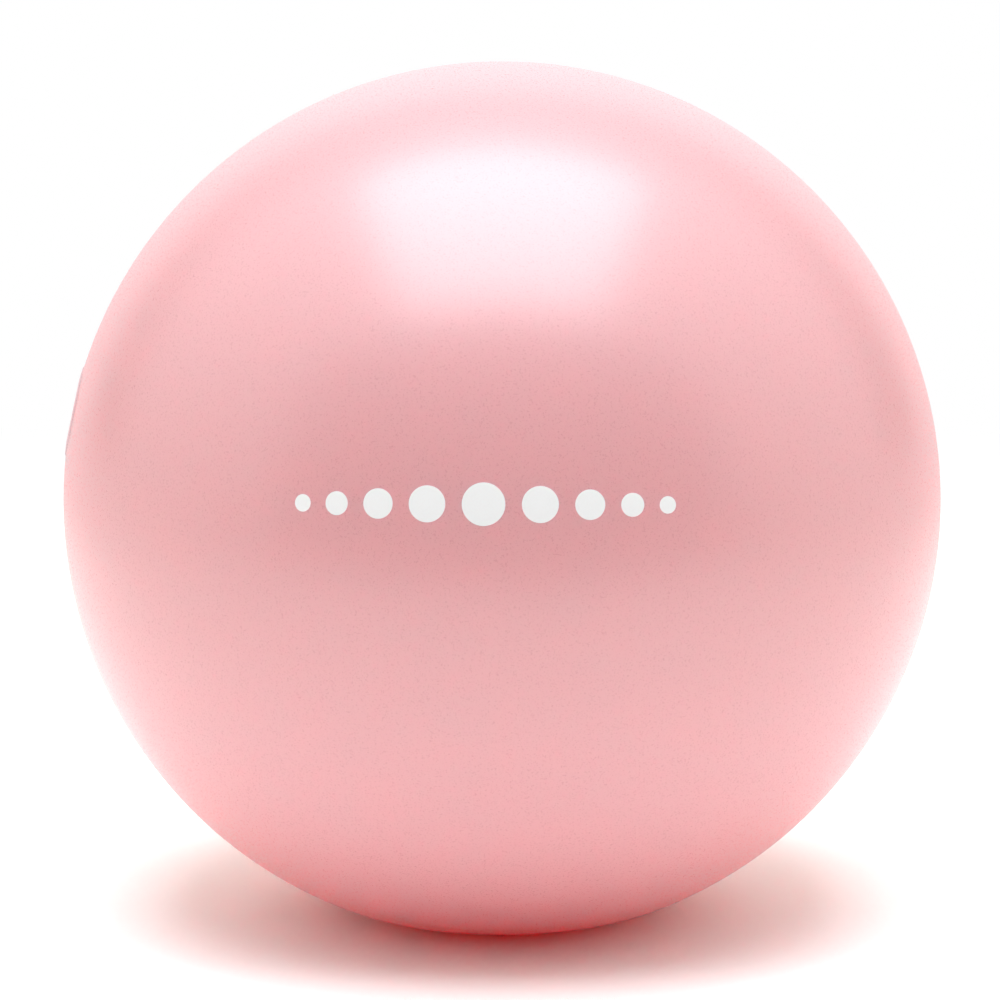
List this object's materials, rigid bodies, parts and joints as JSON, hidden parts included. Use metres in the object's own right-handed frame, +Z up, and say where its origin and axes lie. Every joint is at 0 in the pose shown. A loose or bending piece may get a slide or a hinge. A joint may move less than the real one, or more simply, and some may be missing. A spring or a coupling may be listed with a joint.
{
  "type": "exercise ball",
  "caption": "Small inflatable exercise ball: a thin soft PVC skin standing on its own flattened foot, with a push-in valve plug in a recess.",
  "frame": {"origin": "middle of the flat patch that the ball stands on, at floor level", "axes": "+Z up, -Y towards the picture's viewer, valve on the -X side, 12.5 degrees above the horizontal and 4.5 degrees round towards -Y"},
  "size_m": [0.23, 0.23, 0.2245],
  "materials": {
    "skin_pvc": "satin",
    "sleeve_pvc": "satin",
    "plug_plastic": "satin"
  },
  "bodies": {
    "ball": {"ball_skin": "skin_pvc", "valve_sleeve": "sleeve_pvc"},
    "plug": {"valve_plug": "plug_plastic"}
  },
  "joints": [
    {"name": "plug_pull", "type": "slide", "parent": "ball", "child": "plug", "axis": [-0.9733, -0.0766, 0.2164], "range_m": [0, 0.025]}
  ]
}
